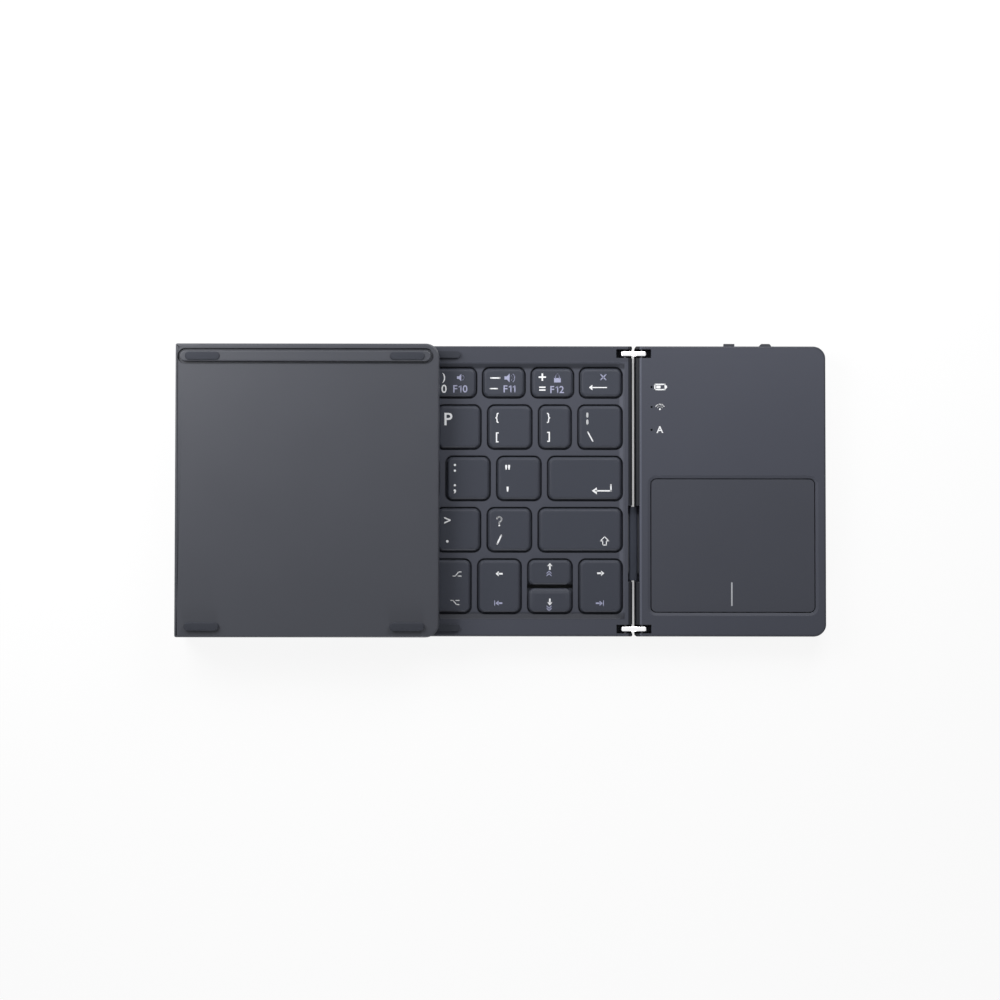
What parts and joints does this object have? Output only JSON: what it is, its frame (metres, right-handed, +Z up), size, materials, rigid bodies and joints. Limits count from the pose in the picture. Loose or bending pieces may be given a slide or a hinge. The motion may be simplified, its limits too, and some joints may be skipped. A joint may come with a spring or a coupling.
{
  "type": "folding keyboard",
  "caption": "Pocket keyboard in panels joined by double-pivot hinges that fold flat over each other, with sprung keys and a clicking touchpad.",
  "frame": {"origin": "centre of the space the keyboard takes on the desk, at the level of the feet's undersides, with the left wing folded over the middle panel and the right wing open flat", "axes": "+X to the typist's right along the panels, +Y to the rear edge with the power slider, +Z up from the desk"},
  "size_m": [0.2182, 0.099, 0.0172],
  "materials": {
    "top_shell": "satin slate grey moulded plastic",
    "bottom_shell": "satin slate grey moulded plastic",
    "keycap": "fine matte slate grey plastic",
    "touchpad_surface": "smooth satin plate",
    "cable_bridge": "dark slate moulded plastic",
    "rubber": "dark grey rubber",
    "hinge_link": "bright satin metal",
    "hinge_pin": "ground steel",
    "support_plate": "plain sheet",
    "membrane": "clear film with printed tracks",
    "domes": "translucent silicone",
    "flex_cable": "dark polyimide film",
    "circuit_board": "solder mask",
    "battery_foil": "laminated foil pouch",
    "socket_shell": "plated shell",
    "control_knob": "light grey plastic"
  },
  "bodies": {
    "middle": {"middle_top_frame": "top_shell", "middle_bottom_case": "bottom_shell", "middle_support_plate": "support_plate", "middle_membrane": "membrane", "middle_domes": "domes", "middle_feet": "rubber", "middle_bumpers": "rubber", "middle_hinge_pins": "hinge_pin"},
    "left_link": {"left_hinge_links": "hinge_link", "left_cable_bridge": "cable_bridge", "left_flex_cable": "flex_cable"},
    "left_wing": {"left_top_frame": "top_shell", "left_bottom_case": "bottom_shell", "left_support_plate": "support_plate", "left_membrane": "membrane", "left_domes": "domes", "left_feet": "rubber", "left_hinge_pins": "hinge_pin"},
    "right_link": {"right_hinge_links": "hinge_link", "right_cable_bridge": "cable_bridge", "right_flex_cable": "flex_cable"},
    "right_wing": {"right_top_cover": "top_shell", "right_bottom_case": "bottom_shell", "right_feet": "rubber", "right_hinge_pins": "hinge_pin", "main_board": "circuit_board", "battery": "battery_foil", "charge_socket": "socket_shell"},
    "touchpad": {"touchpad": "touchpad_surface"},
    "power_slider": {"power_slider": "control_knob"},
    "pairing_button": {"pairing_button": "control_knob"},
    "key_delete": {"key_delete": "keycap"},
    "key_equals": {"key_equals": "keycap"},
    "key_minus": {"key_minus": "keycap"},
    "key_zero": {"key_zero": "keycap"},
    "key_backslash": {"key_backslash": "keycap"},
    "key_bracket_right": {"key_bracket_right": "keycap"},
    "key_bracket_left": {"key_bracket_left": "keycap"},
    "key_p": {"key_p": "keycap"},
    "key_enter": {"key_enter": "keycap"},
    "key_quote": {"key_quote": "keycap"},
    "key_semicolon": {"key_semicolon": "keycap"},
    "key_shift": {"key_shift": "keycap"},
    "key_slash": {"key_slash": "keycap"},
    "key_period": {"key_period": "keycap"},
    "key_end": {"key_end": "keycap"},
    "key_home": {"key_home": "keycap"},
    "key_alt": {"key_alt": "keycap"},
    "key_up": {"key_up": "keycap"},
    "key_down": {"key_down": "keycap"},
    "middle_keys_number_row": {"middle_keys_number_row": "keycap"},
    "middle_keys_tab_row": {"middle_keys_tab_row": "keycap"},
    "middle_keys_caps_row": {"middle_keys_caps_row": "keycap"},
    "middle_keys_shift_row": {"middle_keys_shift_row": "keycap"},
    "middle_keys_space_row": {"middle_keys_space_row": "keycap"},
    "left_keys_number_row": {"left_keys_number_row": "keycap"},
    "left_keys_tab_row": {"left_keys_tab_row": "keycap"},
    "left_keys_caps_row": {"left_keys_caps_row": "keycap"},
    "left_keys_shift_row": {"left_keys_shift_row": "keycap"},
    "left_keys_space_row": {"left_keys_space_row": "keycap"}
  },
  "joints": [
    {"name": "left_link_hinge", "type": "hinge", "parent": "middle", "child": "left_link", "pos_m": [-0.10685, -0.00047, 0.0058], "axis": [0, -1, 0], "range_deg": [0, 90], "deforming": ["left_flex_cable"]},
    {"name": "left_wing_hinge", "type": "hinge", "parent": "left_link", "child": "left_wing", "pos_m": [-0.10685, -0.00047, 0.0114], "axis": [0, -1, 0], "range_deg": [0, 90]},
    {"name": "right_link_hinge", "type": "hinge", "parent": "middle", "child": "right_link", "pos_m": [0.04155, -0.00047, 0.0058], "axis": [0, -1, 0], "range_deg": [0, 90], "deforming": ["right_flex_cable"]},
    {"name": "right_wing_hinge", "type": "hinge", "parent": "right_link", "child": "right_wing", "pos_m": [0.04715, -0.00047, 0.0058], "axis": [0, -1, 0], "range_deg": [0, 90]},
    {"name": "touchpad_click", "type": "hinge", "parent": "right_wing", "child": "touchpad", "pos_m": [0.07785, 0.00382, 0.0066], "axis": [1, 0, 0], "range_deg": [0, 0.5], "stiffness_Nm_per_rad": 4, "springref_deg": -0.34},
    {"name": "power_slide", "type": "slide", "parent": "right_wing", "child": "power_slider", "axis": [1, 0, 0], "range_m": [0, 0.002]},
    {"name": "pairing_press", "type": "slide", "parent": "right_wing", "child": "pairing_button", "axis": [0, -1, 0], "range_m": [0, 0.0004], "stiffness_N_per_m": 900, "springref_m": -0.0005},
    {"name": "key_delete_press", "type": "slide", "parent": "middle", "child": "key_delete", "axis": [0, 0, -1], "range_m": [0, 0.0012], "stiffness_N_per_m": 300, "springref_m": -0.0008, "deforming": ["middle_domes"]},
    {"name": "key_equals_press", "type": "slide", "parent": "middle", "child": "key_equals", "axis": [0, 0, -1], "range_m": [0, 0.0012], "stiffness_N_per_m": 300, "springref_m": -0.0008, "deforming": ["middle_domes"]},
    {"name": "key_minus_press", "type": "slide", "parent": "middle", "child": "key_minus", "axis": [0, 0, -1], "range_m": [0, 0.0012], "stiffness_N_per_m": 300, "springref_m": -0.0008, "deforming": ["middle_domes"]},
    {"name": "key_zero_press", "type": "slide", "parent": "middle", "child": "key_zero", "axis": [0, 0, -1], "range_m": [0, 0.0012], "stiffness_N_per_m": 300, "springref_m": -0.0008, "deforming": ["middle_domes"]},
    {"name": "key_backslash_press", "type": "slide", "parent": "middle", "child": "key_backslash", "axis": [0, 0, -1], "range_m": [0, 0.0012], "stiffness_N_per_m": 300, "springref_m": -0.0008, "deforming": ["middle_domes"]},
    {"name": "key_bracket_right_press", "type": "slide", "parent": "middle", "child": "key_bracket_right", "axis": [0, 0, -1], "range_m": [0, 0.0012], "stiffness_N_per_m": 300, "springref_m": -0.0008, "deforming": ["middle_domes"]},
    {"name": "key_bracket_left_press", "type": "slide", "parent": "middle", "child": "key_bracket_left", "axis": [0, 0, -1], "range_m": [0, 0.0012], "stiffness_N_per_m": 300, "springref_m": -0.0008, "deforming": ["middle_domes"]},
    {"name": "key_p_press", "type": "slide", "parent": "middle", "child": "key_p", "axis": [0, 0, -1], "range_m": [0, 0.0012], "stiffness_N_per_m": 300, "springref_m": -0.0008, "deforming": ["middle_domes"]},
    {"name": "key_enter_press", "type": "slide", "parent": "middle", "child": "key_enter", "axis": [0, 0, -1], "range_m": [0, 0.0012], "stiffness_N_per_m": 300, "springref_m": -0.0008, "deforming": ["middle_domes"]},
    {"name": "key_quote_press", "type": "slide", "parent": "middle", "child": "key_quote", "axis": [0, 0, -1], "range_m": [0, 0.0012], "stiffness_N_per_m": 300, "springref_m": -0.0008, "deforming": ["middle_domes"]},
    {"name": "key_semicolon_press", "type": "slide", "parent": "middle", "child": "key_semicolon", "axis": [0, 0, -1], "range_m": [0, 0.0012], "stiffness_N_per_m": 300, "springref_m": -0.0008, "deforming": ["middle_domes"]},
    {"name": "key_shift_press", "type": "slide", "parent": "middle", "child": "key_shift", "axis": [0, 0, -1], "range_m": [0, 0.0012], "stiffness_N_per_m": 300, "springref_m": -0.0008, "deforming": ["middle_domes"]},
    {"name": "key_slash_press", "type": "slide", "parent": "middle", "child": "key_slash", "axis": [0, 0, -1], "range_m": [0, 0.0012], "stiffness_N_per_m": 300, "springref_m": -0.0008, "deforming": ["middle_domes"]},
    {"name": "key_period_press", "type": "slide", "parent": "middle", "child": "key_period", "axis": [0, 0, -1], "range_m": [0, 0.0012], "stiffness_N_per_m": 300, "springref_m": -0.0008, "deforming": ["middle_domes"]},
    {"name": "key_end_press", "type": "slide", "parent": "middle", "child": "key_end", "axis": [0, 0, -1], "range_m": [0, 0.0012], "stiffness_N_per_m": 300, "springref_m": -0.0008, "deforming": ["middle_domes"]},
    {"name": "key_home_press", "type": "slide", "parent": "middle", "child": "key_home", "axis": [0, 0, -1], "range_m": [0, 0.0012], "stiffness_N_per_m": 300, "springref_m": -0.0008, "deforming": ["middle_domes"]},
    {"name": "key_alt_press", "type": "slide", "parent": "middle", "child": "key_alt", "axis": [0, 0, -1], "range_m": [0, 0.0012], "stiffness_N_per_m": 300, "springref_m": -0.0008, "deforming": ["middle_domes"]},
    {"name": "key_up_press", "type": "slide", "parent": "middle", "child": "key_up", "axis": [0, 0, -1], "range_m": [0, 0.0012], "stiffness_N_per_m": 300, "springref_m": -0.0008, "deforming": ["middle_domes"]},
    {"name": "key_down_press", "type": "slide", "parent": "middle", "child": "key_down", "axis": [0, 0, -1], "range_m": [0, 0.0012], "stiffness_N_per_m": 300, "springref_m": -0.0008, "deforming": ["middle_domes"]},
    {"name": "middle_keys_number_row_press", "type": "slide", "parent": "middle", "child": "middle_keys_number_row", "axis": [0, 0, -1], "range_m": [0, 0.0012], "stiffness_N_per_m": 1500, "springref_m": -0.0008, "deforming": ["middle_domes"]},
    {"name": "middle_keys_tab_row_press", "type": "slide", "parent": "middle", "child": "middle_keys_tab_row", "axis": [0, 0, -1], "range_m": [0, 0.0012], "stiffness_N_per_m": 1500, "springref_m": -0.0008, "deforming": ["middle_domes"]},
    {"name": "middle_keys_caps_row_press", "type": "slide", "parent": "middle", "child": "middle_keys_caps_row", "axis": [0, 0, -1], "range_m": [0, 0.0012], "stiffness_N_per_m": 1500, "springref_m": -0.0008, "deforming": ["middle_domes"]},
    {"name": "middle_keys_shift_row_press", "type": "slide", "parent": "middle", "child": "middle_keys_shift_row", "axis": [0, 0, -1], "range_m": [0, 0.0012], "stiffness_N_per_m": 1500, "springref_m": -0.0008, "deforming": ["middle_domes"]},
    {"name": "middle_keys_space_row_press", "type": "slide", "parent": "middle", "child": "middle_keys_space_row", "axis": [0, 0, -1], "range_m": [0, 0.0012], "stiffness_N_per_m": 1500, "springref_m": -0.0008, "deforming": ["middle_domes"]},
    {"name": "left_keys_number_row_press", "type": "slide", "parent": "left_wing", "child": "left_keys_number_row", "axis": [0, 0, 1], "range_m": [0, 0.0012], "stiffness_N_per_m": 1500, "springref_m": -0.0008, "deforming": ["left_domes"]},
    {"name": "left_keys_tab_row_press", "type": "slide", "parent": "left_wing", "child": "left_keys_tab_row", "axis": [0, 0, 1], "range_m": [0, 0.0012], "stiffness_N_per_m": 1500, "springref_m": -0.0008, "deforming": ["left_domes"]},
    {"name": "left_keys_caps_row_press", "type": "slide", "parent": "left_wing", "child": "left_keys_caps_row", "axis": [0, 0, 1], "range_m": [0, 0.0012], "stiffness_N_per_m": 1500, "springref_m": -0.0008, "deforming": ["left_domes"]},
    {"name": "left_keys_shift_row_press", "type": "slide", "parent": "left_wing", "child": "left_keys_shift_row", "axis": [0, 0, 1], "range_m": [0, 0.0012], "stiffness_N_per_m": 1500, "springref_m": -0.0008, "deforming": ["left_domes"]},
    {"name": "left_keys_space_row_press", "type": "slide", "parent": "left_wing", "child": "left_keys_space_row", "axis": [0, 0, 1], "range_m": [0, 0.0012], "stiffness_N_per_m": 1500, "springref_m": -0.0008, "deforming": ["left_domes"]}
  ]
}
